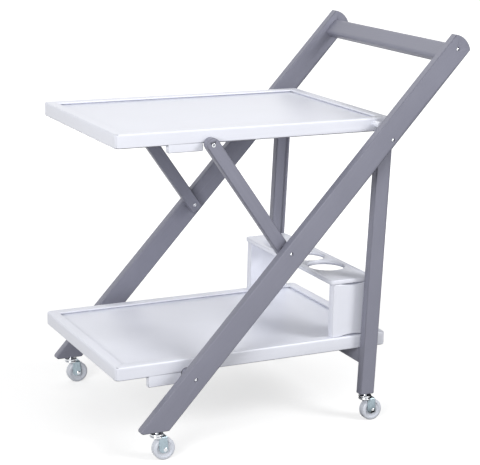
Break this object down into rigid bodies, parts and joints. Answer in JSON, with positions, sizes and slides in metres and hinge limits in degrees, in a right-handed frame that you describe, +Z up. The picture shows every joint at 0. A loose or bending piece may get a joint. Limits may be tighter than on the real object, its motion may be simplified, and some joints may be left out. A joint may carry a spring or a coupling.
{
  "type": "folding serving trolley",
  "caption": "Folding serving trolley: crossed wooden legs with a push bar, an upper and a lower tray, a lift-off bottle holder and swivel casters; it folds about its leg pivots.",
  "frame": {"origin": "on the floor under the centre of the overall box", "axes": "+X from the trays' front end towards the push bar, +Y to the right of someone who stands at the bar, +Z up"},
  "size_m": [0.6914, 0.4788, 0.7474],
  "materials": {
    "grey_wood": "satin grey paint on solid wood",
    "white_wood": "satin white paint on solid wood and board",
    "zinc": "bright zinc-plated steel",
    "dark_zinc": "bluish zinc-plated pressed steel",
    "black_plastic": "matt black plastic",
    "clear_plastic": "milky translucent plastic"
  },
  "bodies": {
    "long_frame": {"long_leg_left": "grey_wood", "long_leg_right": "grey_wood", "handle_bar": "grey_wood", "lower_rod": "zinc", "handle_bolt_left": "zinc", "handle_bolt_right": "zinc", "rear_pivot_bolt_left": "zinc", "rear_pivot_bolt_right": "zinc", "brace_pivot_bolt_left": "zinc", "brace_pivot_bolt_right": "zinc", "rod_bolt_left": "zinc", "rod_bolt_right": "zinc", "rear_pivot_washer_left": "black_plastic", "rear_pivot_washer_right": "black_plastic", "brace_pivot_washer_left": "black_plastic", "brace_pivot_washer_right": "black_plastic", "rod_spacer_left": "grey_wood", "rod_spacer_right": "grey_wood", "front_caster_left_stem": "zinc", "front_caster_right_stem": "zinc"},
    "rear_frame": {"rear_leg_left": "grey_wood", "rear_leg_right": "grey_wood", "crossbar": "grey_wood", "rear_caster_left_stem": "zinc", "rear_caster_right_stem": "zinc"},
    "braces": {"brace_left": "grey_wood", "brace_right": "grey_wood", "upper_rod": "zinc"},
    "top_tray": {"top_tray_rim_left": "white_wood", "top_tray_rim_right": "white_wood", "top_tray_rim_front": "white_wood", "top_tray_rim_rear": "white_wood", "top_tray_panel": "white_wood", "top_tray_cleat_left": "white_wood", "top_tray_cleat_right": "white_wood", "top_tray_pin_left": "white_wood", "top_tray_pin_right": "white_wood"},
    "bottom_tray": {"bottom_tray_rim_left": "white_wood", "bottom_tray_rim_right": "white_wood", "bottom_tray_rim_front": "white_wood", "bottom_tray_rim_rear": "white_wood", "bottom_tray_panel": "white_wood", "bottom_tray_cleat_left": "white_wood", "bottom_tray_cleat_right": "white_wood"},
    "bottle_holder": {"holder_board": "white_wood", "holder_side_left": "white_wood", "holder_side_right": "white_wood"},
    "front_caster_left_fork": {"front_caster_left_fork": "dark_zinc", "front_caster_left_axle": "zinc"},
    "front_caster_left_wheel": {"front_caster_left_wheel": "clear_plastic"},
    "front_caster_right_fork": {"front_caster_right_fork": "dark_zinc", "front_caster_right_axle": "zinc"},
    "front_caster_right_wheel": {"front_caster_right_wheel": "clear_plastic"},
    "rear_caster_left_fork": {"rear_caster_left_fork": "dark_zinc", "rear_caster_left_axle": "zinc"},
    "rear_caster_left_wheel": {"rear_caster_left_wheel": "clear_plastic"},
    "rear_caster_right_fork": {"rear_caster_right_fork": "dark_zinc", "rear_caster_right_axle": "zinc"},
    "rear_caster_right_wheel": {"rear_caster_right_wheel": "clear_plastic"}
  },
  "joints": [
    {"name": "rear_frame_fold", "type": "hinge", "parent": "long_frame", "child": "rear_frame", "pos_m": [0.18545, 0, 0.5572], "axis": [0, 1, 0], "range_deg": [0, 36.5]},
    {"name": "bottom_tray_fold", "type": "hinge", "parent": "long_frame", "child": "bottom_tray", "pos_m": [-0.20796, 0, 0.144], "axis": [0, -1, 0], "range_deg": [0, 47.7]},
    {"name": "brace_fold", "type": "hinge", "parent": "long_frame", "child": "braces", "pos_m": [-0.02055, 0, 0.35962], "axis": [0, -1, 0], "range_deg": [0, 70.7]},
    {"name": "top_tray_fold", "type": "hinge", "parent": "braces", "child": "top_tray", "pos_m": [-0.16816, 0, 0.5666], "axis": [0, 1, 0], "range_deg": [0, 23.1]},
    {"name": "holder_slide", "type": "slide", "parent": "bottom_tray", "child": "bottle_holder", "axis": [-1, 0, 0], "range_m": [-0.02, 0.2]},
    {"name": "front_caster_left_swivel", "type": "hinge", "parent": "long_frame", "child": "front_caster_left_fork", "pos_m": [-0.28119, -0.2265, 0], "axis": [0, 0, 1], "continuous": true},
    {"name": "front_caster_right_swivel", "type": "hinge", "parent": "long_frame", "child": "front_caster_right_fork", "pos_m": [-0.28119, 0.2265, 0], "axis": [0, 0, 1], "continuous": true},
    {"name": "rear_caster_left_swivel", "type": "hinge", "parent": "rear_frame", "child": "rear_caster_left_fork", "pos_m": [0.1679, -0.201, 0], "axis": [0, 0, 1], "continuous": true},
    {"name": "rear_caster_right_swivel", "type": "hinge", "parent": "rear_frame", "child": "rear_caster_right_fork", "pos_m": [0.1679, 0.201, 0], "axis": [0, 0, 1], "continuous": true},
    {"name": "front_caster_left_roll", "type": "hinge", "parent": "front_caster_left_fork", "child": "front_caster_left_wheel", "pos_m": [-0.26819, -0.2265, 0.021], "axis": [0, 1, 0], "continuous": true},
    {"name": "front_caster_right_roll", "type": "hinge", "parent": "front_caster_right_fork", "child": "front_caster_right_wheel", "pos_m": [-0.26819, 0.2265, 0.021], "axis": [0, 1, 0], "continuous": true},
    {"name": "rear_caster_left_roll", "type": "hinge", "parent": "rear_caster_left_fork", "child": "rear_caster_left_wheel", "pos_m": [0.1809, -0.201, 0.021], "axis": [0, 1, 0], "continuous": true},
    {"name": "rear_caster_right_roll", "type": "hinge", "parent": "rear_caster_right_fork", "child": "rear_caster_right_wheel", "pos_m": [0.1809, 0.201, 0.021], "axis": [0, 1, 0], "continuous": true}
  ],
  "couplings": [
    {"joint": "bottom_tray_fold", "follows": "rear_frame_fold", "ratio": 1.3041},
    {"joint": "brace_fold", "follows": "rear_frame_fold", "ratio": 1.9344},
    {"joint": "top_tray_fold", "follows": "rear_frame_fold", "ratio": 0.63026}
  ]
}
